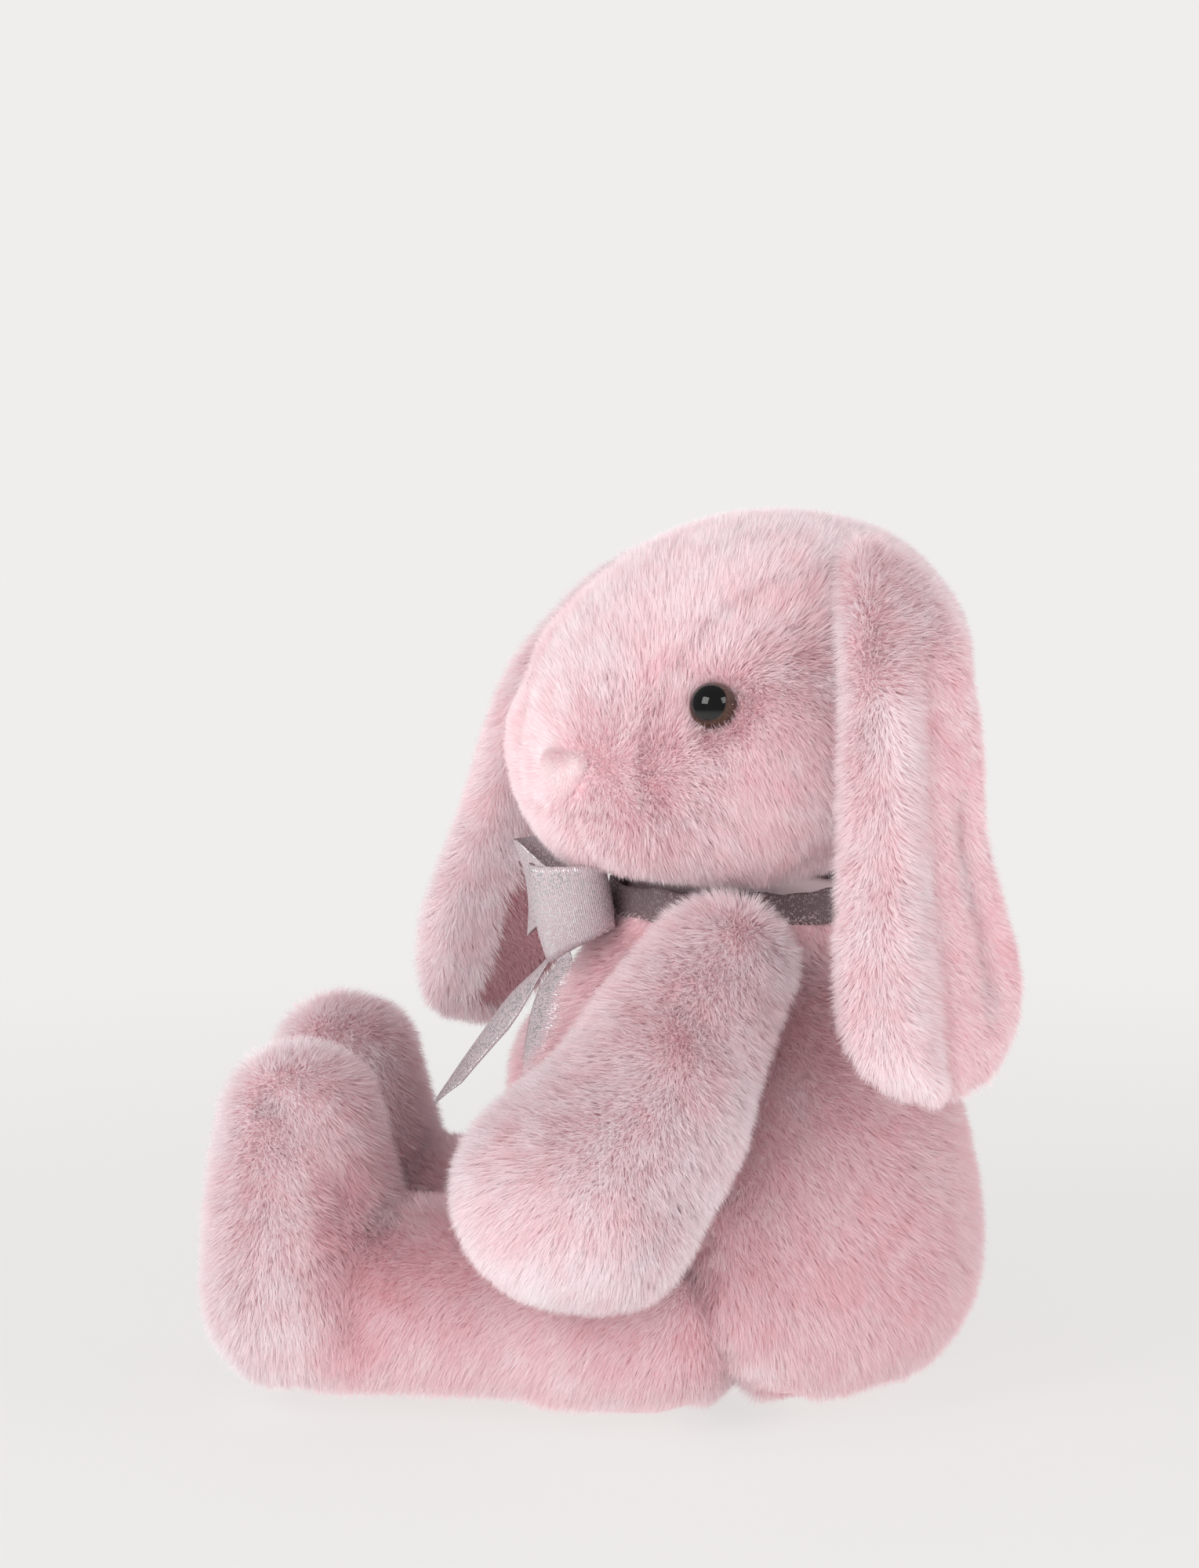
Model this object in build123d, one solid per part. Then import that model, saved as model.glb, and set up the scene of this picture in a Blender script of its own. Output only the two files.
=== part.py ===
"""A seated plush rabbit with hanging ears and a ribbon bow, as separate sewn pieces.

Millimetres. The rabbit faces -Y, its left side is +X and +Z is up. The origin is on the
floor, under the middle of the torso. Every soft form takes an inset, so that the same form
gives the outside of a fur skin, the inside of that skin and the stuffing within it.
"""

import math
import os

from build123d import *

# ---- cloth, fur and clearances
pile_length = 9.5  # fur pile, from its backing to its tips
backing = 1.0  # the knitted backing that the pile grows from
skin = pile_length + backing  # a fur panel, from inside to tips
fit = 0.3  # between a skin and what it wraps or lies against
swing_gap = 0.5  # around a limb, over its whole travel

# ---- torso, a pear of revolution
seat_radius = 82.0
seat_height = 48.0  # where the torso is widest
seat_corner = 50.0  # rounding under the widest place
belly_arc = 150.0  # rounding above the widest place
belly_sweep = 24.0  # degrees of that rounding
neck_radius = 43.0
neck_height = 172.0
collar_height = 13.0  # straight neck that the ribbon goes round

# ---- head, one leaning flattened ball, turned on the neck
head_turn = 46.0  # to the rabbit's left, as it sits
head_radius = 80.5
head_half_depth = 60.0
head_edge = 46.0  # rounding at the ball's equator
head_lean = 30.0  # the nose end is lower
head_height = 227.5  # centre of the head
head_forward = 2.0

# ---- head panels
gusset_front = 10.0  # half widths of the strip over the top of the head
gusset_crown = 44.0
crown_back = 2.0  # where the strip is widest
gusset_nape = 16.0
gusset_start = 202.0  # height of its lower end, at the nose
gusset_fall = 16.0  # degrees that this cut falls towards the nape

# ---- eyes and nose
eye_radius = 7.5
eye_stand = 0.4  # how far the dome stands out of the fur
eye_angle = 43.5  # from the nose, seen from above
eye_height = 237.0
shank_radius = 2.0
shank_reach = 5.0  # past the inside of the skin
washer_radius = 9.0
washer_thickness = 1.6
washer_seat = 1.2  # the flat washer under the round skin
nose_width = 30.0
nose_drop = 17.0
nose_height = 209.0
nose_pad = 1.4

# ---- ears, flattened drops that hang from round roots
ear_root_radius = 23.0
ear_tip_radius = 35.0
ear_length = 124.0  # between the centres of those two rounds
ear_flatness = 0.40
left_ear_root_height = 266.0
right_ear_root_height = 257.0
ear_root_out = 86.0
left_ear_root_back = -4.0
right_ear_root_back = 8.0
ear_knuckle = 16.0  # the gathered root, which turns in the head seam
ear_knuckle_in = 8.0  # towards the head from the ear's own root
ear_seam_in = 4.0  # the lining starts this far inside the ear's middle
left_ear_splay, left_ear_forward = 9.5, 0.0
right_ear_splay, right_ear_forward = 14.0, 8.0

# ---- arms, flattened tapers that hang beside the torso
shoulder_radius = 25.0
hand_radius = 40.0
arm_length = 86.0
arm_flatness = 0.72
shoulder_height = 152.0
shoulder_back = 7.0
arm_plane = 22.0  # degrees that an arm's plane leans out
arm_root_radius = 14.0  # the ring where an arm is sewn on, about its hinge
left_arm_forward = 34.5
right_arm_forward = 20.0

# ---- legs, round thighs with upright feet
thigh_radius = 36.0
heel_radius = 38.0
toe_radius = 27.0
foot_height = 123.0
leg_spacing = 50.0  # middle plane to thigh axis
leg_length = 109.0  # hip to heel
left_hip_forward = 24.0
right_hip_forward = 32.0
leg_spread = 15.0  # outward travel
leg_close = 3.0  # inward travel
socket_step = 0.1  # the spread leg's socket is this much larger, so the two cuts cross

# ---- ribbon and bow
ribbon_thickness = 0.8
ribbon_width = 11.0
knot_width, knot_depth, knot_height = 13.0, 13.0, 14.0
knot_corner = 2.5
knot_droop = 9.0  # below the middle of the ribbon
knot_stand = 3.6  # the knot rests on the chest, clear of the ribbon
loop_length = 36.0
loop_round = 11.0
loop_root = 2.5
loop_height = 26.0
loop_rise = 5.0  # degrees
left_loop_yaw = 10.0  # degrees forwards
right_loop_yaw = 26.0
tail_width = 11.6
tail_spread = 3.4  # from the middle plane to a tail's middle
tail_turn = 65.0  # degrees about its own length, so its outer face looks sideways
tail_notch = 9.0  # slant of a cut end
left_tail_length, left_tail_lean = 48.0, 29.0
right_tail_length, right_tail_lean = 76.0, 36.5


def taper_half(start_radius, end_radius, length, plane):
    """Half the outline of two circles and their outer tangent, along the plane's own Y."""
    lean = math.asin((start_radius - end_radius) / length)
    quarter = math.pi / 2

    def rim(radius, centre, angle):
        return (radius * math.cos(angle), centre + radius * math.sin(angle))

    with BuildSketch(plane) as outline:
        with BuildLine():
            ThreePointArc(
                rim(start_radius, 0, -quarter),
                rim(start_radius, 0, (lean - quarter) / 2),
                rim(start_radius, 0, lean),
            )
            Line(rim(start_radius, 0, lean), rim(end_radius, length, lean))
            ThreePointArc(
                rim(end_radius, length, lean),
                rim(end_radius, length, (lean + quarter) / 2),
                rim(end_radius, length, quarter),
            )
            Line(rim(end_radius, length, quarter), rim(start_radius, 0, -quarter))
        make_face()
    return outline.sketch


def round_taper(start_radius, end_radius, length):
    """Two balls on Z, at 0 and at length, joined by the cone that touches both."""
    return revolve(taper_half(start_radius, end_radius, length, Plane.XZ), axis=Axis.Z)


def torso_profile():
    """The points of the torso's outline, from the floor up to the neck, as (radius, height)."""
    seat_centre = (seat_radius - seat_corner, seat_height)
    foot = math.asin(seat_height / seat_corner) if seat_height < seat_corner else math.pi / 2
    sweep = math.radians(belly_sweep)
    belly_centre = seat_radius - belly_arc
    return {
        "base": (seat_centre[0] + seat_corner * math.cos(foot), 0),
        "under": (
            seat_centre[0] + seat_corner * math.cos(foot / 2),
            seat_centre[1] - seat_corner * math.sin(foot / 2),
        ),
        "side": (seat_radius, seat_height),
        "belly": (
            belly_centre + belly_arc * math.cos(sweep / 2),
            seat_height + belly_arc * math.sin(sweep / 2),
        ),
        "chest": (
            belly_centre + belly_arc * math.cos(sweep),
            seat_height + belly_arc * math.sin(sweep),
        ),
        "collar": (neck_radius, neck_height - collar_height),
        "top": (neck_radius, neck_height),
    }


def torso_pear(inset):
    """The torso without its hip sockets, its outside drawn in by inset."""
    at = torso_profile()
    with BuildSketch(Plane.XZ) as outline:
        with BuildLine() as right:
            Line((0, 0), at["base"])
            ThreePointArc(at["base"], at["under"], at["side"])
            ThreePointArc(at["side"], at["belly"], at["chest"])
            Line(at["chest"], at["collar"])
            Line(at["collar"], at["top"])
            Line(at["top"], (0, neck_height))
        mirror(right.line, about=Plane.YZ)
        make_face()
        if inset:
            offset(amount=-inset, kind=Kind.INTERSECTION)
        with Locations((seat_radius, neck_height / 2)):
            Rectangle(2 * seat_radius, 2 * neck_height, mode=Mode.INTERSECT)
    return revolve(outline.sketch, axis=Axis.Z)


def thigh_room(side, turn, growth):
    """The room that one thigh takes when its leg is turned outward by turn degrees."""
    room = round_taper(thigh_radius + growth, thigh_radius + growth, leg_length)
    return hip_place(side) * Rot(0, 0, turn * side_sign(side)) * Rot(90, 0, 0) * room


def torso_form(inset):
    """The torso with its hip sockets, its outside drawn in by inset."""
    form = torso_pear(inset)
    for side in ("left", "right"):
        form -= thigh_room(side, leg_spread, swing_gap + inset + socket_step)
        form -= thigh_room(side, -leg_close, swing_gap + inset)
    return form


def side_sign(side):
    """The left side of the rabbit is +X."""
    return 1 if side == "left" else -1


def hip_place(side):
    """The centre of one hip, on the leg's hinge."""
    forward = left_hip_forward if side == "left" else right_hip_forward
    return Pos(side_sign(side) * leg_spacing, -forward, thigh_radius)


def leg_form(side, inset):
    """A thigh on the floor with its foot standing up at the end."""
    thigh = Rot(90, 0, 0) * round_taper(thigh_radius - inset, thigh_radius - inset, leg_length)
    sole = foot_height - heel_radius - toe_radius
    foot = round_taper(heel_radius - inset, toe_radius - inset, sole)
    heel = Pos(0, -leg_length, heel_radius - thigh_radius)
    return hip_place(side) * (thigh + heel * foot)


def arm_reach():
    """How far the torso's side stands out along the normal of an arm's plane."""
    tilt = math.radians(arm_plane)
    belly_centre = seat_radius - belly_arc
    return belly_centre * math.cos(tilt) + seat_height * math.sin(tilt) + belly_arc


def shoulder_out():
    """The shoulder's distance from the middle plane, with the arm just clear of the torso."""
    tilt = math.radians(arm_plane)
    stand = arm_reach() + swing_gap + shoulder_radius * arm_flatness
    return (stand - shoulder_height * math.sin(tilt)) / math.cos(tilt)


def arm_root_depth():
    """How far the sewn ring reaches in from the arm, to end just off the sloping chest."""
    tilt = math.radians(arm_plane)
    at = torso_profile()
    (chest, chest_height), (collar, collar_base) = at["chest"], at["collar"]
    inner_height = shoulder_height - shoulder_radius * arm_flatness * math.sin(tilt)
    low = inner_height - arm_root_radius * math.cos(tilt)
    radius = chest + (collar - chest) * (low - chest_height) / (collar_base - chest_height)
    return arm_reach() + swing_gap - fit - radius * math.cos(tilt) - low * math.sin(tilt)


def arm_form(side, inset):
    """A flattened taper that hangs from the shoulder in the arm's own leaning plane."""
    growth = (hand_radius - shoulder_radius) / arm_length
    flare = math.degrees(math.atan(arm_flatness * math.tan(math.asin(growth))))
    forward = left_arm_forward if side == "left" else right_arm_forward
    taper = round_taper(shoulder_radius - inset, hand_radius - inset, arm_length)
    flat = scale(taper, by=(arm_flatness, 1, 1))
    hung = Rot(-forward, 0, 0) * Rot(0, -flare, 0) * Rot(180, 0, 0) * flat
    if not inset:
        depth = arm_root_depth() + shoulder_radius * arm_flatness
        hung += Pos(-depth / 2, 0, 0) * Rot(0, 90, 0) * Cylinder(arm_root_radius, depth)
    arm = Pos(shoulder_out(), shoulder_back, shoulder_height) * Rot(0, -arm_plane, 0) * hung
    return arm if side == "left" else mirror(arm, about=Plane.YZ)


def head_oval():
    """The flat arc's radius and the turn at which it meets the edge arc."""
    across = head_radius - head_edge
    crown = (across**2 + head_half_depth**2 - head_edge**2) / (2 * (head_half_depth - head_edge))
    return crown, math.atan2(crown - head_half_depth, across)


def head_ball(inset):
    """The whole head before the neck is cut, in the head's own frame, nose to -Y."""
    crown, meet = head_oval()
    crown_centre = head_half_depth - crown
    edge_centre = head_radius - head_edge

    def on_edge(angle):
        radius = head_edge - inset
        return (edge_centre + radius * math.cos(angle), radius * math.sin(angle))

    def on_crown(angle, up):
        radius = crown - inset
        rise = crown_centre + radius * math.sin(angle)
        return (radius * math.cos(angle), rise * up)

    quarter = math.pi / 2
    with BuildSketch(Plane.XZ) as outline:
        with BuildLine():
            for up in (1, -1):
                ThreePointArc(on_edge(0), on_edge(up * meet / 2), on_edge(up * meet))
                top = on_crown(quarter, up)
                ThreePointArc(on_edge(up * meet), on_crown((meet + quarter) / 2, up), top)
            Line(on_crown(quarter, 1), on_crown(quarter, -1))
        make_face()
    ball = revolve(outline.sketch, axis=Axis.Z)
    return Pos(0, -head_forward, head_height) * Rot(head_lean, 0, 0) * ball


def head_form(inset):
    """The head with the flat patch that sits on the neck."""
    patch = neck_height + fit + inset
    under = Pos(0, 0, patch - head_height / 2) * Box(head_height, head_height, head_height)
    return head_ball(inset) - under


def head_spot(angle, height):
    """A plane on the head's surface, facing out: angle from the nose, height from the floor."""
    start = Vector(0, 0, height)
    heading = Vector(math.sin(math.radians(angle)), -math.cos(math.radians(angle)), 0)
    hits = head_ball(0).find_intersection_points(Axis(start, heading))
    spot, normal = max(hits, key=lambda hit: (hit[0] - start).dot(heading))
    return Plane(origin=spot, z_dir=normal if normal.dot(heading) > 0 else -normal)


def on_neck(shape):
    """From the head's own frame to the rabbit's, turned on the neck."""
    return Rot(0, 0, head_turn) * shape


def disc(place, radius, low, high):
    """A cylinder on a plane, from low to high along its normal."""
    return place * Pos(0, 0, (low + high) / 2) * Cylinder(radius, high - low)


def eye_place(side):
    return head_spot(side_sign(side) * eye_angle, eye_height)


def eye(side):
    """A moulded dome with the shank that holds it through the skin."""
    dome_centre = eye_stand - eye_radius
    back = dome_centre - eye_radius / 4
    place = eye_place(side)
    ball = place * Pos(0, 0, dome_centre) * Sphere(eye_radius)
    dome = ball & disc(place, 2 * eye_radius, back, back + 2 * eye_radius)
    return dome + disc(place, shank_radius, -skin - shank_reach, dome_centre)


def eye_pocket(side):
    """The dent and the hole that an eye takes in the skin."""
    back = eye_stand - eye_radius - eye_radius / 4
    place = eye_place(side)
    dent = disc(place, eye_radius + fit, back - fit, back + 3 * eye_radius)
    return dent + disc(place, shank_radius + fit, -2 * skin, back)


def eye_washer(side):
    """The locking washer pushed onto a shank, against the inside of the skin."""
    top = -skin - washer_seat
    place = eye_place(side)
    ring = disc(place, washer_radius, top - washer_thickness, top)
    return ring - disc(place, shank_radius + fit / 3, top - 2 * washer_thickness, top + fit)


def washer_pocket(side):
    """The hollow that a washer and shank end press into the stuffing."""
    return disc(eye_place(side), washer_radius + fit, -skin - shank_reach - fit, skin)


def ear_seat(side):
    """How far back and how high one ear is sewn on."""
    if side == "left":
        return left_ear_root_back, left_ear_root_height
    return right_ear_root_back, right_ear_root_height


def ear_root(side):
    """The knuckle's centre, on the ear's hinge, in the head's frame."""
    return Vector(side_sign(side) * (ear_root_out - ear_knuckle_in), *ear_seat(side))


def ear_knuckle_form(side, growth):
    """The gathered root, round about the ear's hinge."""
    return Pos(*ear_root(side)) * Sphere(ear_knuckle + growth)


def ear_pieces(side):
    """The furred outer and the short-pile lining of one hanging ear, seamed on a flat."""
    splay = left_ear_splay if side == "left" else right_ear_splay
    forward = left_ear_forward if side == "left" else right_ear_forward
    drop = scale(
        round_taper(ear_root_radius, ear_tip_radius, ear_length), by=(ear_flatness, 1, 1)
    )
    hung = Rot(180, 0, 0) * drop
    size = 3 * ear_length
    top = -ear_knuckle - fit
    inner_side = Pos(-ear_seam_in - size / 2, 0, top - size / 2) * Box(size, size, size)
    place = Pos(ear_root_out, *ear_seat(side))
    turned = place * Rot(-forward, 0, 0) * Rot(0, -splay, 0)
    outer, lining = turned * (hung - inner_side), turned * (hung & inner_side)
    if side == "right":
        outer, lining = mirror(outer, about=Plane.YZ), mirror(lining, about=Plane.YZ)
    knuckle = ear_knuckle_form(side, 0)
    return {f"ear_outer_{side}": outer + knuckle, f"ear_lining_{side}": lining}


def gusset_prism():
    """The room of the strip that runs from the nose over the head to the nape."""
    long = 2 * head_radius
    half = [(gusset_front, -long), (gusset_crown, crown_back), (gusset_nape, long)]
    outline = half + [(-x, y) for x, y in reversed(half)]
    strip = extrude(make_face(Polyline(*outline, close=True)), amount=2 * head_height)
    size = 4 * head_radius
    cut = Pos(0, -head_radius, gusset_start) * Rot(-gusset_fall, 0, 0)
    return strip - cut * Pos(0, 0, -size / 2) * Box(size, size, size)


def head_panels():
    """The head's skin as its gusset and two side panels."""
    shell = head_form(0) - head_form(skin)
    for side in ("left", "right"):
        shell -= eye_pocket(side)
        shell -= ear_knuckle_form(side, swing_gap)
    strip = gusset_prism()
    sides = shell - strip
    size = 4 * head_radius
    left_half = Pos(size / 2, 0, head_height) * Box(size, size, size)
    return {
        "head_gusset": shell & strip,
        "head_side_left": sides & left_half,
        "head_side_right": sides - left_half,
    }


def head_stuffing():
    form = head_form(skin + fit)
    for side in ("left", "right"):
        form -= washer_pocket(side)
    return form


def nose_patch():
    """A soft rounded triangle that lies on the muzzle."""
    place = head_spot(0, nose_height)
    half = nose_width / 2
    with BuildSketch() as outline:
        Polygon((-half, nose_drop / 2), (half, nose_drop / 2), (0, -nose_drop / 2), align=None)
        fillet(outline.vertices(), nose_drop / 6)
    upright = Plane(origin=place.origin, x_dir=(1, 0, 0), z_dir=place.z_dir)
    column = upright * extrude(outline.sketch, amount=nose_drop / 2, both=True)
    gap = fit / 3
    return column & (head_ball(-gap - nose_pad) - head_ball(-gap))


def neck_ribbon():
    inner = neck_radius + fit
    height = neck_height - collar_height / 2
    band = Cylinder(inner + ribbon_thickness, ribbon_width) - Cylinder(inner, ribbon_width)
    return Pos(0, 0, height) * band


def knot_place():
    """The middle of the knot, against the front of the neck ribbon."""
    front = neck_radius + fit + ribbon_thickness + knot_stand + knot_depth / 2
    return Pos(0, -front, neck_height - collar_height / 2 - knot_droop)


def bow_knot():
    block = Box(knot_width, knot_depth, knot_height)
    return knot_place() * fillet(block.edges(), knot_corner)


def bow_loop(side):
    """One loop of ribbon, a tube of drop-shaped plan that stands on edge."""
    far = loop_length - loop_round
    wall = ribbon_thickness
    outside = taper_half(loop_root, loop_round, far, Plane.XY)
    inside = taper_half(loop_root - wall, loop_round - wall, far, Plane.XY)
    outside += mirror(outside, about=Plane.YZ)
    inside += mirror(inside, about=Plane.YZ)
    tube = extrude(outside - inside, amount=loop_height / 2, both=True)
    yaw = left_loop_yaw if side == "left" else right_loop_yaw
    outward = Rot(0, -loop_rise, 0) * Rot(0, 0, -90 - yaw) * tube
    tilt = knot_height / 2 * math.sin(math.radians(loop_rise))
    start = knot_place() * Pos(knot_width / 2 + loop_root + tilt + fit, 0, 0)
    loop = start * outward
    return loop if side == "left" else mirror(loop, about=Plane.YZ)


def bow_tail(side):
    """A flat end of ribbon that hangs forward from the knot, cut on the slant."""
    length, lean = (
        (left_tail_length, left_tail_lean)
        if side == "left"
        else (right_tail_length, right_tail_lean)
    )
    half = tail_width / 2
    corners = [(-half, 0), (half, 0), (half, -length), (-half, tail_notch - length)]
    strip = extrude(Plane.XZ * make_face(Polyline(*corners, close=True)), ribbon_thickness)
    corner = knot_corner - knot_depth / 2
    drop = Pos(tail_spread, corner, -knot_height / 2 - ribbon_thickness)
    tail = knot_place() * drop * Rot(-lean, 0, 0) * Rot(0, 0, tail_turn) * strip
    return tail if side == "left" else mirror(tail, about=Plane.YZ)


def pieces():
    """Every sewn, tied or moulded piece, by its node's name."""
    made = {
        "torso_shell": torso_form(0) - torso_form(skin),
        "torso_stuffing": torso_form(skin + fit),
        "head_stuffing": on_neck(head_stuffing()),
        "nose_patch": on_neck(nose_patch()),
        "neck_ribbon": neck_ribbon(),
        "bow_knot": bow_knot(),
    }
    made |= {name: on_neck(panel) for name, panel in head_panels().items()}
    for side in ("left", "right"):
        made[f"eye_{side}"] = on_neck(eye(side))
        made[f"eye_washer_{side}"] = on_neck(eye_washer(side))
        made |= {name: on_neck(piece) for name, piece in ear_pieces(side).items()}
        made[f"arm_shell_{side}"] = arm_form(side, 0) - arm_form(side, skin)
        made[f"arm_stuffing_{side}"] = arm_form(side, skin + fit)
        made[f"leg_shell_{side}"] = leg_form(side, 0) - leg_form(side, skin)
        made[f"leg_stuffing_{side}"] = leg_form(side, skin + fit)
        made[f"bow_loop_{side}"] = bow_loop(side)
        made[f"bow_tail_{side}"] = bow_tail(side)
    return made


os.makedirs("parts", exist_ok=True)
for name, piece in pieces().items():
    export_step(piece, f"parts/{name}.step")
    print(name, len(piece.solids()), "solid", round(piece.volume / 1000, 2), "cm3")
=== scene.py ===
# %% [markdown]
# # A seated plush rabbit
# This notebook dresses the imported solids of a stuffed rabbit: it turns them into soft furry
# forms, and adds its glass-like eyes, velour nose, hanging ears and glitter ribbon.
# Everything is in metres, in the frame of the solids: the rabbit faces -Y, its left side is
# +X, and +Z is up. Sizes in this file are written in millimetres and multiplied by MM.

import math

import bmesh
import bpy
import numpy as np
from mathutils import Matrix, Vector
from mathutils.bvhtree import BVHTree


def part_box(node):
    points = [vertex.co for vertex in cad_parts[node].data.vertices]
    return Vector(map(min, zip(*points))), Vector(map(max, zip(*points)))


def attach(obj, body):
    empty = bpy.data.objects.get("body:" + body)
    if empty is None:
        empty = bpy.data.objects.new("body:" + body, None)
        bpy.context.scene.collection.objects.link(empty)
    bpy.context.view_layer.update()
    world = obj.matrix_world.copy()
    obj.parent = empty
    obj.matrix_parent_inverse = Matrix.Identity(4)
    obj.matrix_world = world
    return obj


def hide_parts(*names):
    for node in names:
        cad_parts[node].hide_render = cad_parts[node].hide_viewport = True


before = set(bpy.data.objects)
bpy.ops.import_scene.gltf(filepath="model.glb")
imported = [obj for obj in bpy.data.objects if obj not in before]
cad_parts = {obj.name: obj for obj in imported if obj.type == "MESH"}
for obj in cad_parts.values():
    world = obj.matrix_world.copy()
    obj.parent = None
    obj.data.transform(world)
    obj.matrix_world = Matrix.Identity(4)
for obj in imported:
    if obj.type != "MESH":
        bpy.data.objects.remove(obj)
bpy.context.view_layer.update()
MM = 0.001


def add_object(name, data):
    """A new object of the scene with this data."""
    made = bpy.data.objects.new(name, data)
    bpy.context.scene.collection.objects.link(made)
    return made


# %% [markdown]
# ## The camera
# A toy looks its real size when it is seen from its own height, so the camera stands only a
# little above it, at its left side and a metre and a half away. A long lens keeps the ears
# and the feet in proportion.

# %% Place the camera
camera_place = Vector((1.4671, 0.2062, 0.3747))
camera_back = Vector((0.97869, 0.16921, 0.11633))
lens = bpy.data.cameras.new("camera")
lens.lens, lens.sensor_width, lens.clip_end = 104.2, 36.0, 20.0
camera = add_object("camera", lens)
camera.location = camera_place
camera.rotation_euler = (-camera_back).to_track_quat("-Z", "Y").to_euler()
bpy.context.scene.camera = camera
bpy.context.scene.view_settings.view_transform = "Standard"
print("camera", [round(x, 3) for x in camera.location], "lens", lens.lens)

# %% [markdown]
# ## Writing shaders as sums
# A node tree is easier to read as a formula. A Wire holds one socket: adding or multiplying
# wires adds Math nodes, and make() adds any other node. Colours go through Mix nodes,
# because a Math node would turn them grey.


# %% The wire helper
def add_node(tree, kind, settings=None, **values):
    """Adds a node: its settings first, then its sockets by name or by number (_0, _1)."""
    node = tree.nodes.new(kind)
    for name, value in (settings or {}).items():
        setattr(node, name, value)
    for name, value in values.items():
        socket = node.inputs[int(name[1:]) if name[0] == "_" else name.replace("_", " ")]
        if isinstance(value, bpy.types.NodeSocket):
            tree.links.new(value, socket)
        else:
            socket.default_value = value
    return node


def numbered(values):
    return {f"_{n}": value for n, value in enumerate(values)}


class Wire:
    """One socket of a material's node tree."""

    def __init__(self, tree, socket=None):
        self.tree, self.socket = tree, socket

    def make(self, kind, settings=None, output=0, **values):
        """Adds a shader node, whose values may be wires, and gives the wire of one output."""
        values = {name: v.socket if isinstance(v, Wire) else v for name, v in values.items()}
        node = add_node(self.tree, "ShaderNode" + kind, settings, **values)
        return Wire(self.tree, node.outputs[output])

    def math(self, operation, *values):
        return self.make("Math", {"operation": operation}, **numbered(values))

    def __add__(self, other):
        return self.math("ADD", self, other)

    def __mul__(self, other):
        return self.math("MULTIPLY", self, other)

    def __rsub__(self, other):
        return self.math("SUBTRACT", other, self)

    def step(self, low, high):
        """0 below low, 1 above high and smooth between them."""
        return self.make("MapRange", {"interpolation_type": "SMOOTHSTEP"}, _0=self, _1=low, _2=high)

    def between(self, first, second):
        """A colour that goes from first, where this wire is 0, to second, where it is 1."""
        first, second = (c if isinstance(c, Wire) else (*c, 1) for c in (first, second))
        return self.make("Mix", {"data_type": "RGBA"}, output=2, _0=self, _6=first, _7=second)

    def noise(self, size, detail=2.0):
        """Noise whose lumps are about size metres across, on this wire's coordinates."""
        return self.make("TexNoise", Vector=self, Scale=1 / size, Detail=detail)

    def bump(self, strength, depth):
        return self.make("Bump", Strength=strength, Distance=depth, Height=self)

    def surface(self, end="Material Output"):
        """Makes this wire what the whole tree gives."""
        self.tree.links.new(self.socket, self.tree.nodes[end].inputs["Surface"])


def finish(name, paint, **constants):
    """A material: paint adds nodes and returns links for its sockets, constants are set."""
    material = bpy.data.materials.new(name)
    material.use_nodes = True
    tree = material.node_tree
    surface = tree.nodes["Principled BSDF"]
    for socket, value in constants.items():
        surface.inputs[socket.replace("_", " ")].default_value = value
    places = Wire(tree).make("TexCoord", output=3)
    for socket, wire in paint(places).items():
        tree.links.new(wire.socket, surface.inputs[socket.replace("_", " ")])
    print("finish", name)
    return material


# %% [markdown]
# ## Floor and light
# The floor is a wide pale sheet. Far from the rabbit it fades into the plain backdrop, so
# that no horizon shows. One large soft lamp stands before the rabbit's face, a wide low one at
# its left side and a weaker one behind its back. A pale sky fills the shadows, as in a small
# photo studio. It is stronger from the sides than from above, and reflections see little of
# it, so that the eyes stay dark and the ribbon glitters.

# %% Backdrop, floor and lamps
BACKDROP, SKY_WHITE = (0.863, 0.855, 0.839, 1), (1.0, 0.985, 0.975, 1)
FROM_SIDES, FROM_ABOVE, IN_REFLECTIONS = 1.40, 0.22, 0.25
world = bpy.data.worlds.new("studio")
bpy.context.scene.world = world
world.use_nodes = True
tree = world.node_tree
tree.nodes.remove(tree.nodes["Background"])
start = Wire(tree)
way = start.make("TexCoord", output="Generated")
height = way.make("SeparateXYZ", output=2, _0=way)
rise = height.make("MapRange", _0=height, _1=0.1, _2=0.9)
from_sides = start.make("Background", Color=SKY_WHITE, Strength=FROM_SIDES)
from_above = start.make("Background", Color=SKY_WHITE, Strength=FROM_ABOVE)
dim = start.make("Background", Strength=IN_REFLECTIONS)
plain = start.make("Background", Color=BACKDROP)
sky = start.make("MixShader", _0=rise, _1=from_sides, _2=from_above)
sky = start.make("MixShader", _0=start.make("LightPath", output="Is Glossy Ray"), _1=sky, _2=dim)
sky = start.make("MixShader", _0=start.make("LightPath", output="Is Camera Ray"), _1=sky, _2=plain)
sky.surface("World Output")


def add_mesh(name, points, faces, smooth=True):
    """A mesh object from points in metres."""
    mesh = bpy.data.meshes.new(name)
    mesh.from_pydata([tuple(p) for p in points], [], [tuple(f) for f in faces])
    mesh.polygons.foreach_set("use_smooth", [smooth] * len(mesh.polygons))
    mesh.update()
    return add_object(name, mesh)


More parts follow.
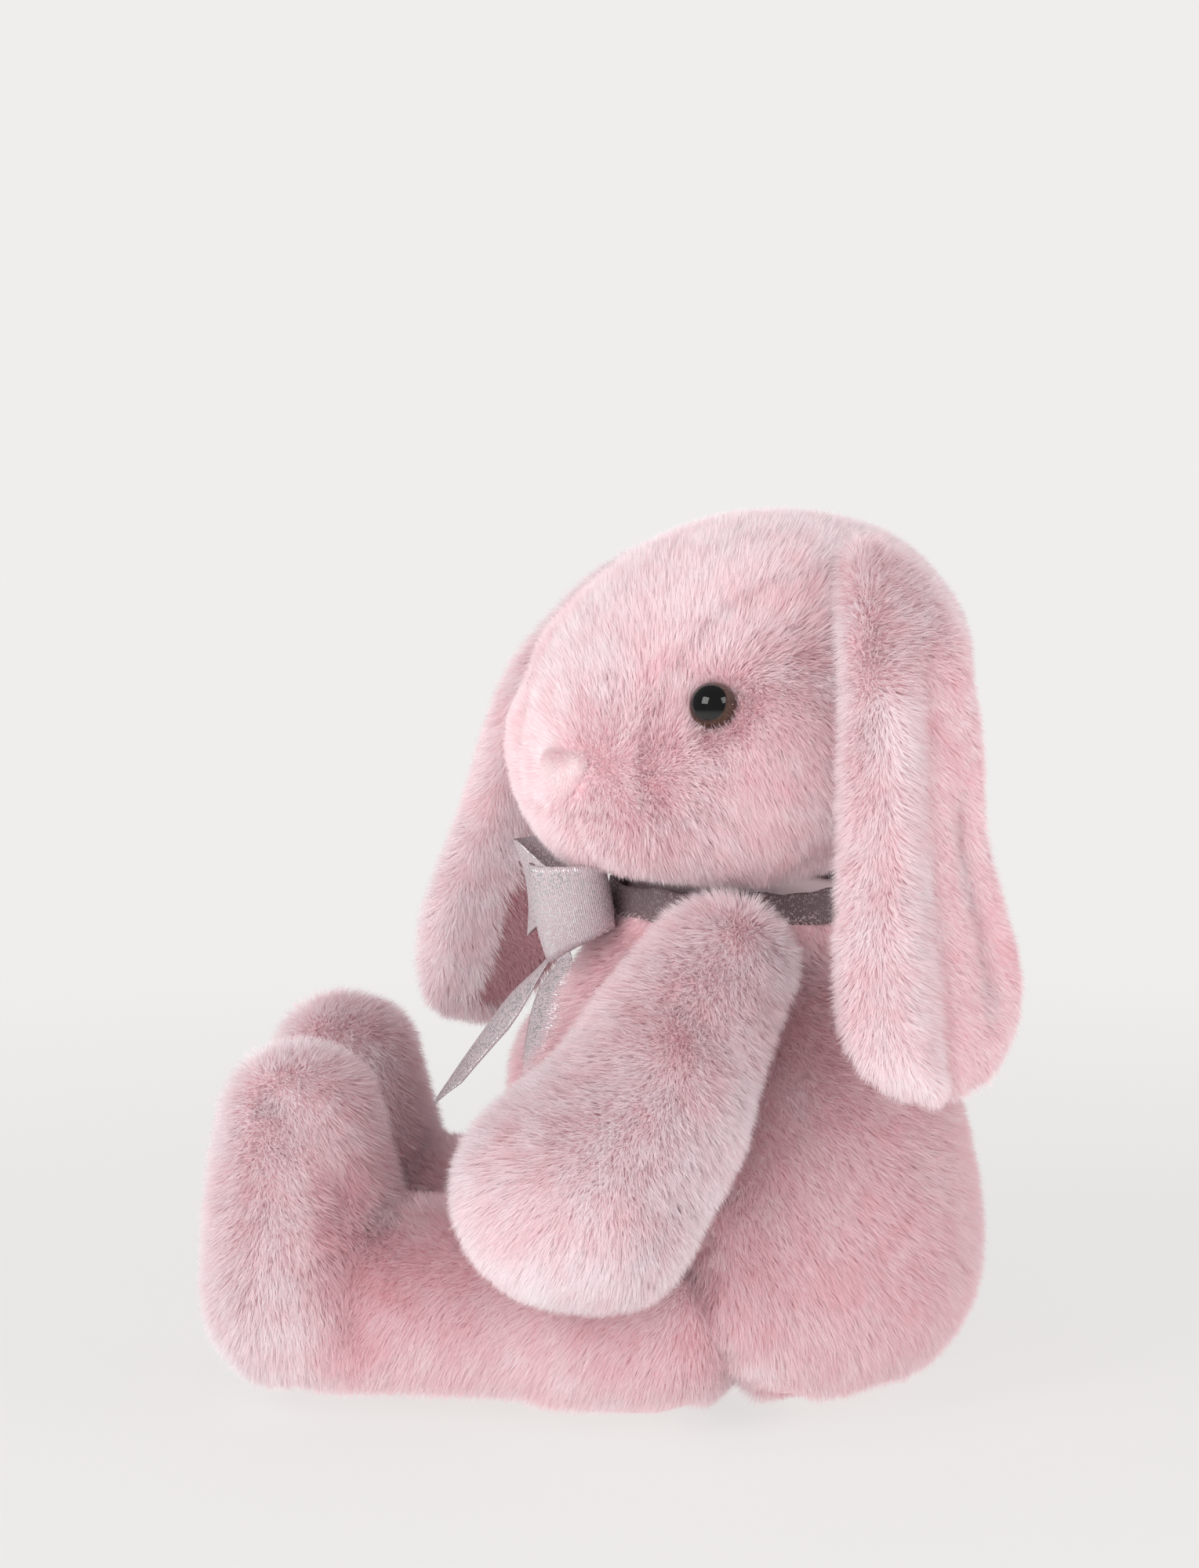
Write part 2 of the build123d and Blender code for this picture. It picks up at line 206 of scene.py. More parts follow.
FLOOR_REACH, FLOOR_CORNERS = 2.6, 96
turn = np.arange(FLOOR_CORNERS) * math.tau / FLOOR_CORNERS
rim = [(FLOOR_REACH * math.cos(a), FLOOR_REACH * math.sin(a), 0) for a in turn]
floor = add_mesh("floor", rim, [range(FLOOR_CORNERS)])
floor_paint = bpy.data.materials.new("floor_paint")
floor_paint.use_nodes = True
tree = floor_paint.node_tree
tree.nodes.remove(tree.nodes["Principled BSDF"])
start = Wire(tree)
spot = start.make("TexCoord", output=3)
far = spot.make("VectorMath", {"operation": "LENGTH"}, output=1, _0=spot)
lit = start.make("BsdfDiffuse", Color=(0.86, 0.835, 0.83, 1))
glow = start.make("Emission", Color=BACKDROP, Strength=1.0)
paper = start.make("MixShader", _0=0.78, _1=lit, _2=glow)
edge = start.make("BsdfTransparent")
start.make("MixShader", _0=far.step(0.30, 1.0), _1=paper, _2=edge).surface()
floor.data.materials.append(floor_paint)


def lamp(name, place, aim, width, power, colour):
    """A square area lamp at place, turned to aim."""
    data = bpy.data.lights.new(name, "AREA")
    data.size, data.energy, data.color = width, power, colour
    made = add_object(name, data)
    made.location = place
    made.rotation_euler = (Vector(aim) - Vector(place)).to_track_quat("-Z", "Y").to_euler()
    return made


lamp("key", (1.24, -0.80, 1.00), (0, 0, 0.14), 0.9, 10, (1.0, 0.985, 0.97))
lamp("back", (0.55, 1.35, 0.95), (0, 0, 0.14), 0.7, 4.5, (1.0, 0.99, 0.98))
side_lamp = lamp("side", (1.85, -0.25, 0.22), (0, 0, 0.10), 1.2, 12, (1.0, 0.985, 0.975))
side_lamp.visible_glossy = False
print("floor and lamps ready")

# %% [markdown]
# ## Finishes
# Plush pile is pale at its tips and deeper rose at its roots, which shows wherever the pile
# parts. Each strand carries a small map: across it, how light the strand is, and along it,
# the way from root to tip. The colour is a formula of those two numbers.

# %% Pile and backing
TIP, ROOT = (0.975, 0.885, 0.905), (0.965, 0.765, 0.80)
DEEP_STRAND, PALE_STRAND = (0.95, 0.76, 0.79), (1.01, 1.07, 1.065)
TRANSLUCENCE = 0.45


def let_light_through(material):
    """Mixes in some translucence of the same colour, as thin fibres have."""
    tree = material.node_tree
    surface = tree.nodes["Principled BSDF"]
    colour = Wire(tree, surface.inputs["Base Color"].links[0].from_socket)
    opaque, through = Wire(tree, surface.outputs[0]), colour.make("BsdfTranslucent", Color=colour)
    colour.make("MixShader", _0=TRANSLUCENCE, _1=opaque, _2=through).surface()
    return material


def pile_finish(name, tip, root):
    def paint(places):
        parts = places.make("UVMap", {"uv_map": "OFBake"})
        tone = parts.make("SeparateXYZ", Vector=parts)
        along = Wire(tone.tree, tone.socket.node.outputs[1])
        shade = along.step(-0.1, 0.6).between(root, tip)
        light = tone.between(DEEP_STRAND, PALE_STRAND)
        multiply = {"data_type": "RGBA", "blend_type": "MULTIPLY"}
        return {"Base_Color": shade.make("Mix", multiply, output=2, _0=1.0, _6=shade, _7=light)}

    sheen = dict(Sheen_Weight=0.2, Sheen_Roughness=0.5)
    return let_light_through(finish(name, paint, Roughness=0.85, Specular_IOR_Level=0.15, **sheen))


pink_pile = pile_finish("pink_pile", TIP, ROOT)
lining_pile = pile_finish("lining_pile", (0.86, 0.60, 0.64), (0.74, 0.42, 0.46))
nose_pile = pile_finish("nose_pile", (0.99, 0.955, 0.96), (0.975, 0.90, 0.91))


def cloth_finish(name, light, dark, roughness=0.9, sheen=0.5):
    """Knitted cloth, in soft patches of two tones."""

    def paint(places):
        patches, knit = places.noise(0.012, 4.0), places.noise(0.0007, 2.0)
        colour = patches.step(0.3, 0.7).between(dark, light)
        return {"Base_Color": colour, "Normal": knit.bump(0.6, 0.0004)}

    return finish(name, paint, Roughness=roughness, Sheen_Weight=sheen)


backing = cloth_finish("fur_backing", (0.96, 0.77, 0.80), (0.95, 0.71, 0.75), 0.95, 0.4)
lining_cloth = cloth_finish("lining_cloth", (0.80, 0.50, 0.54), (0.74, 0.43, 0.47))
nose_cloth = cloth_finish("nose_cloth", (0.98, 0.92, 0.925), (0.97, 0.89, 0.895))

# %% [markdown]
# The ribbon is woven from grey yarn with flat metal threads. Each cell of a fine pattern is
# one glint: it is smooth metal, tilted its own way, so a few of them catch the lamp at once.


# %% Ribbon, eye and washer
GLINTS, RIBS = 1700.0, 9000.0  # cells per metre, and radians of rib per metre


def ribbon_finish(name, dark, light, metal, first_glint):
    """Ribbed weave with glints: the higher first_glint is, the fewer cells shine."""

    def paint(places):
        weave = places.make("UVMap", {"uv_map": "weave"})
        flat = {"voronoi_dimensions": "2D"}
        cells = weave.make("TexVoronoi", flat, output=1, Vector=weave, Scale=GLINTS)
        glint = cells.make("SeparateColor", Color=cells)
        shine = glint.step(first_glint, first_glint + 0.2)
        waves = weave.make("SeparateXYZ", Vector=weave) * RIBS
        ribs = waves.math("SINE", waves) * 0.5 + 0.5
        height = Wire(glint.tree, glint.socket.node.outputs[1]) * shine + ribs * 0.3
        return {
            "Base_Color": shine.between(ribs.between(dark, light), metal),
            "Metallic": shine * 0.85,
            "Roughness": 0.62 - shine * 0.34,
            "Normal": height.bump(0.9, 0.0004),
        }

    return finish(name, paint)


glitter = ribbon_finish(
    "glitter_ribbon", (0.38, 0.31, 0.34), (0.58, 0.49, 0.52), (0.95, 0.91, 0.94), 0.55
)
# The neck band is the same ribbon as the bow, given darker yarn, darker metal and fewer glints: painted
# shade, because the band lies in shadow under the chin.
shaded_band_glitter = ribbon_finish(
    "band_ribbon_painted_shade", (0.10, 0.068, 0.074), (0.20, 0.14, 0.152), (0.50, 0.42, 0.44), 0.72
)


def eye_paint(places):
    rim = places.make("Attribute", {"attribute_name": "rim"}, output=2)
    flecks = places.noise(0.0008, 3.0).step(0.3, 0.8)
    brown = flecks.between((0.040, 0.019, 0.010), (0.075, 0.040, 0.024))
    colour = rim.step(0.76, 0.84).between((0.003, 0.003, 0.003), brown)
    return {"Base_Color": colour, "Coat_Weight": 0.20 - flecks * 0.02}


def washer_paint(places):
    return {"Base_Color": places.noise(0.004).between((0.80, 0.80, 0.76), (0.88, 0.88, 0.85))}


eye_gloss = finish("eye_gloss", eye_paint, Roughness=0.05, Coat_Roughness=0.02, Specular_IOR_Level=0.5)
washer_plastic = finish("washer_plastic", washer_paint, Roughness=0.45)

# %% [markdown]
# ## Soft forms
# A stuffed limb is a bag of cloth pushed out by its filling. The solid of each filling gives
# the right place and size, so a copy of it is remeshed into even squares and grown to where
# the backing lies, just under the pile. Then it is pushed and pinched like clay, at the
# places where the real one bulges or creases.


# %% Helpers for forms
def unit(vectors):
    return vectors / np.maximum(np.linalg.norm(vectors, axis=-1, keepdims=True), 1e-12)


def ease(x):
    x = np.clip(x, 0, 1)
    return x * x * (3 - 2 * x)


def bell(x, middle, width):
    """1 at the middle, falling off smoothly on both sides."""
    return np.exp(-(((x - middle) / width) ** 2))


def length_of(vectors):
    return np.linalg.norm(vectors, axis=-1)


def columns(*parts):
    """One row for each point, from numbers or lists for each direction."""
    return np.stack(np.broadcast_arrays(*parts), axis=1)


def box_of(node):
    """The lowest and the highest corner of a solid's box, in millimetres."""
    return [np.array(corner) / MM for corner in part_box(node)]


def corners_of(node):
    """A solid's corner points, in millimetres."""
    return np.array([v.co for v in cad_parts[node].data.vertices]) / MM


def read(mesh, what):
    flat = np.empty(len(mesh.vertices) * 3, np.float32)
    mesh.vertices.foreach_get(what, flat)
    return flat.reshape(-1, 3).astype(float)


def get_points(mesh):
    return read(mesh, "co") / MM


def surface_of(form):
    """A form's points and which way its surface faces at each."""
    return get_points(form.data), get_normals(form.data)


def set_points(mesh, points):
    mesh.vertices.foreach_set("co", (points * MM).astype(np.float32).ravel())
    mesh.update()


def get_normals(mesh):
    return read(mesh, "normal")


def smoothed(mesh, rounds, share=0.5):
    """Evens the points out along the mesh's edges, without much shrinking."""
    edges = np.empty(len(mesh.edges) * 2, np.int32)
    mesh.edges.foreach_get("vertices", edges)
    first, second = edges.reshape(-1, 2).T
    points = get_points(mesh)
    count = np.bincount(np.concatenate([first, second]), minlength=len(points))[:, None]
    for factor in [share, -share * 1.02] * rounds:
        total = np.zeros_like(points)
        np.add.at(total, first, points[second])
        np.add.at(total, second, points[first])
        points = points + factor * (total / np.maximum(count, 1) - points)
    set_points(mesh, points)


def plain_mesh(thing, name):
    """The evaluated object as a plain mesh object, and the old one removed."""
    graph = bpy.context.evaluated_depsgraph_get()
    mesh = bpy.data.meshes.new_from_object(thing.evaluated_get(graph))
    bpy.data.objects.remove(thing)
    mesh.name = name
    return add_object(name, mesh)


def in_squares(form, name, square):
    """The form remeshed into even squares."""
    remesh = form.modifiers.new("squares", "REMESH")
    remesh.mode, remesh.voxel_size = "VOXEL", square * MM
    return plain_mesh(form, name)


def shade_smooth(mesh):
    mesh.polygons.foreach_set("use_smooth", [True] * len(mesh.polygons))


def mended(mesh, cap=False):
    """Joins points that lie together, closes the rim if asked and turns the faces outward."""
    solid = bmesh.new()
    solid.from_mesh(mesh)
    bmesh.ops.remove_doubles(solid, verts=solid.verts, dist=1e-5)
    if cap:
        bmesh.ops.contextual_create(solid, geom=[edge for edge in solid.edges if edge.is_boundary])
    bmesh.ops.recalc_face_normals(solid, faces=solid.faces)
    solid.to_mesh(mesh)
    solid.free()


def soft_form(name, node, grow, square=4.0):
    """A closed even mesh, grow millimetres outside the filling's solid."""
    source = bmesh.new()
    source.from_mesh(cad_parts[node].data)
    bmesh.ops.remove_doubles(source, verts=source.verts, dist=1e-5)
    mesh = bpy.data.meshes.new(name)
    source.to_mesh(mesh)
    source.free()
    form = in_squares(add_object(name, mesh), name, square)
    for _ in range(2):
        smoothed(form.data, 3)
        set_points(form.data, get_points(form.data) + get_normals(form.data) * grow / 2)
    smoothed(form.data, 3)
    shade_smooth(form.data)
    form.data.materials.append(backing)
    print(name, len(form.data.polygons), "faces")
    return form


def push(points, centre, radius, move):
    """Moves the points within radius of centre, most at the middle."""
    away = length_of((points - centre) / np.asarray(radius, float))
    return points + ease(1 - away)[:, None] * np.asarray(move, float)


def groove(points, normals, path, width, depth):
    """Sinks a crease along a path of points."""
    nearest = np.full(len(points), 1e9)
    for a, b in zip(np.asarray(path[:-1], float), np.asarray(path[1:], float)):
        t = np.clip((points - a) @ (b - a) / ((b - a) @ (b - a)), 0, 1)
        nearest = np.minimum(nearest, length_of(points - a - t[:, None] * (b - a)))
    return points - normals * (depth * bell(nearest, 0, width))[:, None]


def turned(points, angle):
    """Points turned about Z by angle degrees."""
    c, s = math.cos(math.radians(angle)), math.sin(math.radians(angle))
    return points @ np.array([[c, s, 0], [-s, c, 0], [0, 0, 1]])


def round_curve(points, steps=12):
    """A smooth closed curve through a few points."""
    p = np.asarray(points, float)
    before, after, later = (np.roll(p, k, axis=0) for k in (1, -1, -2))
    curve = []
    for a, b, c, d in zip(before, p, after, later):
        for t in np.arange(steps) / steps:
            square, cube = 2 * a - 5 * b + 4 * c - d, 3 * b - a - 3 * c + d
            curve.append(0.5 * (2 * b + (c - a) * t + square * t * t + cube * t**3))
    return np.array(curve)


# %% [markdown]
# ## Pile
# Pile is the same strand many thousand times over, so Geometry Nodes plant it. The backing
# mesh says, point by point, which way is out, which way the pile is brushed, how long and
# how light it is and where there is none. A strand is one thin triangle, because more than a
# million of them are needed. Its shading leans on the backing's direction, which gives the
# soft look of many fibres instead of hard flat blades.


# %% The strand and the tree that plants it
PILE_NOTES = ("out", "nap", "pile", "tone", "along", "cover", "lift")
LOCK, TUFT, FLECK, PATCH = 0.030, 0.007, 0.008, 0.030  # metres


def spike(name):
    """One strand, a unit triangle that tapers from its root at 0 to its tip at 1 on Z."""
    strand = add_mesh(name, [(-0.5, 0, 0), (0.5, 0, 0), (0, 0, 1)], [(0, 1, 2)], False)
    strand.data.attributes.new("along", "FLOAT", "POINT").data.foreach_set("value", [0.0, 0.0, 1.0])
    return strand


def plant_tree():
    tree = bpy.data.node_groups.new("plant_pile", "GeometryNodeTree")
    face = tree.interface
    face.new_socket("Geometry", in_out="OUTPUT", socket_type="NodeSocketGeometry")
    kinds = {"Geometry": "Geometry", "Strand": "Object", "Material": "Material"}
    kinds |= dict.fromkeys(("Density", "Length", "Width", "Lift", "Swirl", "Ruffle"), "Float")
    kinds["Seed"] = "Int"
    for name, kind in kinds.items():
        face.new_socket(name, in_out="INPUT", socket_type="NodeSocket" + kind)

    def add(kind, settings=None, **values):
        return add_node(tree, kind, settings, **values)

    def vector(operation, *values):
        return add("ShaderNodeVectorMath", {"operation": operation}, **numbered(values)).outputs[0]

    def scaled(value, factor):
        return add("ShaderNodeVectorMath", {"operation": "SCALE"}, _0=value, Scale=factor).outputs[0]

    def number(operation, *values):
        return add("ShaderNodeMath", {"operation": operation}, **numbered(values)).outputs[0]

    def named(name, kind="FLOAT"):
        return add("GeometryNodeInputNamedAttribute", {"data_type": kind}, Name=name).outputs[0]

    def chance(kind, low, high, offset):
        """A random value for each strand, with a draw of its own for each offset."""
        seed = number("ADD", given["Seed"], offset)
        node = add("FunctionNodeRandomValue", {"data_type": kind}, Seed=seed)
        ports = [s for s in node.inputs if s.enabled]
        ports[0].default_value, ports[1].default_value = low, high
        return next(s for s in node.outputs if s.enabled)

    def keep(geometry, name, value, kind="FLOAT", domain="POINT"):
        form = {"data_type": kind, "domain": domain}
        node = add("GeometryNodeStoreNamedAttribute", form, Geometry=geometry, Name=name)
        tree.links.new(value, next(s for s in node.inputs if s.name == "Value" and s.enabled))
        return node.outputs[0]

    given = add("NodeGroupInput").outputs
    scatter = add(
        "GeometryNodeDistributePointsOnFaces",
        Mesh=given["Geometry"],
        Density=number("MULTIPLY", given["Density"], named("cover")),
        Seed=given["Seed"],
    )
    out, nap = named("out", "FLOAT_VECTOR"), named("nap", "FLOAT_VECTOR")
    place = add("GeometryNodeInputPosition").outputs[0]

    def lumps(size, detail):
        return add("ShaderNodeTexNoise", Vector=place, Scale=1 / size, Detail=detail).outputs

    def drift(size, strength):
        """A push that wanders over the form, with lumps of this size."""
        return scaled(vector("SUBTRACT", lumps(size, 1.0)[1], (0.5, 0.5, 0.5)), strength)

    def mottle(tone, size, detail, strength):
        away = number("SUBTRACT", lumps(size, detail)[0], 0.5)
        return number("ADD", tone, number("MULTIPLY", away, strength))

    def sway(reach, offset):
        return chance("FLOAT_VECTOR", (-reach,) * 3, (reach,) * 3, offset)

    raised = number("MULTIPLY", given["Lift"], chance("FLOAT", 0.75, 1.3, 1))
    heading = vector("ADD", nap, scaled(out, number("MULTIPLY", raised, named("lift"))))
    for push_aside in (drift(LOCK, given["Swirl"]), drift(TUFT, given["Ruffle"]), sway(0.42, 2)):
        heading = vector("ADD", heading, push_aside)
    heading = vector("NORMALIZE", heading)
    axes = {"primary_axis": "Z", "secondary_axis": "Y"}
    stand = add("FunctionNodeAxesToRotation", axes, _0=heading, _1=out).outputs[0]
    roll = add("FunctionNodeAxisAngleToRotation", Axis=(0, 0, 1), Angle=chance("FLOAT", -0.7, 0.7, 3))
    own_axes = {"rotation_space": "LOCAL"}
    placed = add("FunctionNodeRotateRotation", own_axes, _0=stand, _1=roll.outputs[0])
    long = number("MULTIPLY", given["Length"], named("pile"))
    long = number("MULTIPLY", long, chance("FLOAT", 0.78, 1.06, 4))
    size = add("ShaderNodeCombineXYZ", X=given["Width"], Y=long, Z=long)
    tone = mottle(named("tone"), FLECK, 4.0, 0.9)
    tone = mottle(tone, PATCH, 2.0, 0.8)
    tone = number("ADD", tone, chance("FLOAT", -0.28, 0.28, 5))
    tone = number("MAXIMUM", number("MINIMUM", tone, 0.98), 0.02)
    points = keep(scatter.outputs[0], "tone", tone)
    unmoved = {"transform_space": "ORIGINAL"}
    strand = add("GeometryNodeObjectInfo", unmoved, Object=given["Strand"], As_Instance=True)
    strand = strand.outputs["Geometry"]
    turned_and_sized = dict(Rotation=placed.outputs[0], Scale=size.outputs[0])
    planted = add("GeometryNodeInstanceOnPoints", Points=points, Instance=strand, **turned_and_sized)
    pile = add("GeometryNodeRealizeInstances", Geometry=planted.outputs[0]).outputs[0]
    spot = add("ShaderNodeCombineXYZ", X=named("tone"), Y=named("along"))
    pile = keep(pile, "OFBake", spot.outputs[0], "FLOAT2", "CORNER")
    blade = add("GeometryNodeInputNormal").outputs[0]
    leaning = vector("NORMALIZE", vector("ADD", scaled(out, 2.4), blade))
    shaded = add("GeometryNodeSetMeshNormal", {"mode": "FREE", "domain": "POINT"}, Mesh=pile)
    tree.links.new(leaning, next(s for s in shaded.inputs if s.name == "Custom Normal" and s.enabled))
    pile = add("GeometryNodeSetMaterial", Geometry=shaded.outputs[0], Material=given["Material"])
    pile = pile.outputs[0]
    for name in PILE_NOTES:
        pile = add("GeometryNodeRemoveAttribute", Geometry=pile, Name=name).outputs[0]
    tree.links.new(pile, add("NodeGroupOutput").inputs[0])
    return tree


plush_strand = spike("plush_strand")
pile_tree = plant_tree()
strand_total = 0


def write(mesh, name, value, kind="FLOAT"):
    """Keeps a value on each of a mesh's points."""
    kept = mesh.attributes.get(name) or mesh.attributes.new(name, kind, "POINT")
    count = len(mesh.vertices)
    if kind == "FLOAT":
        kept.data.foreach_set("value", np.broadcast_to(value, count).astype(np.float32))
    else:
        kept.data.foreach_set("vector", np.asarray(value, np.float32).ravel())


def brush(form, nap, pile=1.0, tone=0.5, cover=1.0, lift=1.0):
    """Writes how the pile grows onto a form's points: nap is a direction, the rest numbers."""
    out = get_normals(form.data)
    nap = np.broadcast_to(np.asarray(nap, float), out.shape)
    nap = unit(nap - out * np.sum(nap * out, axis=1, keepdims=True))
    write(form.data, "out", out, "FLOAT_VECTOR")
    write(form.data, "nap", nap, "FLOAT_VECTOR")
    for name, value in (("pile", pile), ("tone", tone), ("cover", cover), ("lift", lift)):
        write(form.data, name, value)


def plant(name, form, material, density, length, seed, width=0.38, lift=1.4, swirl=0.9, ruffle=0.8):
    """Grows a pile on a brushed form, density in strands per square millimetre."""
    global strand_total
    ground = add_object(name, form.data)
    grow = ground.modifiers.new("pile", "NODES")
    grow.node_group = pile_tree
    given = {"Strand": plush_strand, "Material": material, "Seed": seed}
    given |= {"Density": density / MM**2, "Length": length * MM, "Width": width * MM}
    given |= {"Lift": lift, "Swirl": swirl, "Ruffle": ruffle}
    for item in pile_tree.interface.items_tree:
        if item.in_out == "INPUT" and item.name in given:
            grow[item.identifier] = given[item.name]
    pile = plain_mesh(ground, name)
    for attribute in PILE_NOTES:
        if attribute in pile.data.attributes:
            pile.data.attributes.remove(pile.data.attributes[attribute])
    strand_total += len(pile.data.polygons)
    print(name, len(pile.data.polygons), "triangles")
    return pile


def ride(piece, body, slot, *nodes):
    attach(piece, body)
    if nodes:
        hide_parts(*nodes)


# %% [markdown]
# ## Torso
# The torso is a pear-shaped bag that sits on its flat end. Its pile is brushed down and
# outward, and it is pressed short on the flat end and round the neck, where the ribbon lies.
# The bag bulges over the hips, where the thighs are sewn into it. Its neck is widened to
# meet the ribbon's band, and no pile grows under the band. The pile is planted in two
# parts, front and back, so that neither mesh gets too heavy.

# %% Torso
torso = soft_form("torso_skin", "torso_stuffing", 4.6, 5.0)
spots, out = surface_of(torso)
for sign in (1, -1):
    spots = push(spots, (sign * 72, 12, 42), (46, 50, 68), (sign * 15, -19, 0))  # hip
    spots = push(spots, (sign * 44, -34, 74), (36, 34, 26), (0, -6, -3))  # lap
    spots = push(spots, (sign * 24, -36, 150), (36, 32, 34), (sign * 2, -8, 0))  # chest
    spots = push(spots, (sign * 16, -54, 112), (50, 40, 40), (0, -8, 0))  # belly
spots[:, 2] = np.maximum(spots[:, 2], 3.0)
band_low, band_high = box_of("neck_ribbon")
BAND_RADIUS = (band_high[0] - band_low[0]) / 2 - 0.5
to_axis = np.hypot(spots[:, 0], spots[:, 1])
near_band = ease((spots[:, 2] - band_low[2] + 12) / 8) * ease((band_high[2] + 6 - spots[:, 2]) / 6)
near_band = near_band * ease((to_axis - 18) / 8)
wider = 1 + np.maximum(0, BAND_RADIUS - 1.5 - to_axis) * near_band / np.maximum(to_axis, 1)
spots[:, :2] *= wider[:, None]
set_points(torso.data, spots)
print("neck widened by", round(float((to_axis * (wider - 1)).max()), 1), "mm")
spots, out = surface_of(torso)
flat = out[:, 2] < -0.8
nap = columns(spots[:, 0] * 0.004, spots[:, 1] * 0.004, -1.0)
nap[flat] = unit(spots[flat] * [1, 1, 0] + 1e-6)
collar = ease((spots[:, 2] - 150) / 8)
pile = np.where(flat, 0.35, 1.0) * (1 - 0.6 * collar)
under_band = (spots[:, 2] > band_low[2] + 1) & (spots[:, 2] < band_high[2] - 2.5)
cover = np.where(under_band, 0.0, np.where(flat, 0.3, 1.0))
brush(torso, nap, pile, 0.46, cover, np.where(flat, 0.2, 1.0))
ride(torso, "torso", "pink_fur", "torso_stuffing")
for name, half in (("torso_pile_front", spots[:, 1] < 0), ("torso_pile_back", spots[:, 1] >= 0)):
    write(torso.data, "cover", cover * half)
    ride(plant(name, torso, pink_pile, 4.9, 7.6, seed=11), "torso", "pink_fur", "torso_shell")

# %% [markdown]
# ## Legs
# A leg is a round thigh lying on the floor and a foot that stands up from its end. A seam
# pinches the ankle, and painted shade darkens the pile in that valley. The foot's pile is
# painted lighter than the thigh's, as painted light. A short dart curves the toes forward.

# %% Legs
LEG_CREASES = {  # places sideways, back from the sole and up; width; depth
    "ankle": (((24, 52, 78), (32, 55, 64), (36, 60, 48), (35, 58, 32)), 6, 5.5),
    "toe": (((20, 24, 104), (34, 34, 98), (36, 44, 90), (28, 54, 84)), 5, 3.5),
    "sole": (((34, -2, 58), (20, -8, 62), (-10, -10, 60)), 7, 2.5),
}
for side, sign, seed in (("left", 1, 21), ("right", -1, 22)):
    leg = soft_form(f"leg_skin_{side}", f"leg_stuffing_{side}", 4.4)
    low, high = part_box(f"leg_shell_{side}")
    sole, across = low[1] / MM, (low[0] + high[0]) / 2 / MM
    spots, out = surface_of(leg)
    spots = spots + out * (3.5 * ease((spots[:, 1] - sole - 105) / 25))[:, None]
    # The foot is fuller outward and forward, and the thigh is fuller at the hip.
    spots = push(spots, (across + sign * 26, sole + 34, 62), (34, 46, 58), (sign * 7, 0, 0))
    spots = push(spots, (across, sole + 30, 84), (80, 46, 84), (0, -8, 0))
    spots = push(spots, (across + sign * 24, high[1] / MM - 22, 40), (38, 40, 52), (sign * 8, 5, 3))
    for crease, width, depth in LEG_CREASES.values():
        path = [(across + sign * x, sole + y, z) for x, y, z in crease]
        spots = groove(spots, out, path, width, depth)
    spots[:, 2] = np.maximum(spots[:, 2], 4.0)
    set_points(leg.data, spots)
    smoothed(leg.data, 2)
    spots, out = surface_of(leg)
    foot = ease((sole + 78 - spots[:, 1]) / 60)
    nap = columns(0.15 * out[:, 0], -0.5 + 1.1 * foot, -0.8)
    flat = out[:, 2] < -0.8
    nap[flat] = (0, -1, 0)
    hip = ease((spots[:, 1] - sole - 128) / 16)
    ankle = [(across + sign * x, sole + y, z) for x, y, z in LEG_CREASES["ankle"][0]]
    to_ankle = np.min([length_of(spots - place) for place in ankle], axis=0)
    # Painted light and shade in the pile's tone: lighter on the foot, where the lamps fall, and darker
    # in the ankle crease.
    tone = 0.46 + 0.34 * foot - 0.45 * bell(to_ankle, 0, 13)
    pile, cover, lift = (np.where(flat, pressed, 1.0) for pressed in (0.35, 0.3, 0.2))
    brush(leg, nap, pile * (1 - 0.15 * hip), tone, cover, lift)
    leg_pile = plant(f"leg_pile_{side}", leg, pink_pile, 5.1, 7.6, seed=seed)
    ride(leg, f"leg_{side}", "pink_fur", f"leg_stuffing_{side}")
    ride(leg_pile, f"leg_{side}", "pink_fur", f"leg_shell_{side}")

# %% [markdown]
# ## Arms
# An arm is a flat sausage, sewn on at the shoulder and full at the hand. It hangs against
# the belly, and its pile is brushed down towards the hand. The front and rear edges of its
# form are moved by amounts that change along it, which gives a soft bag's uneven outline.

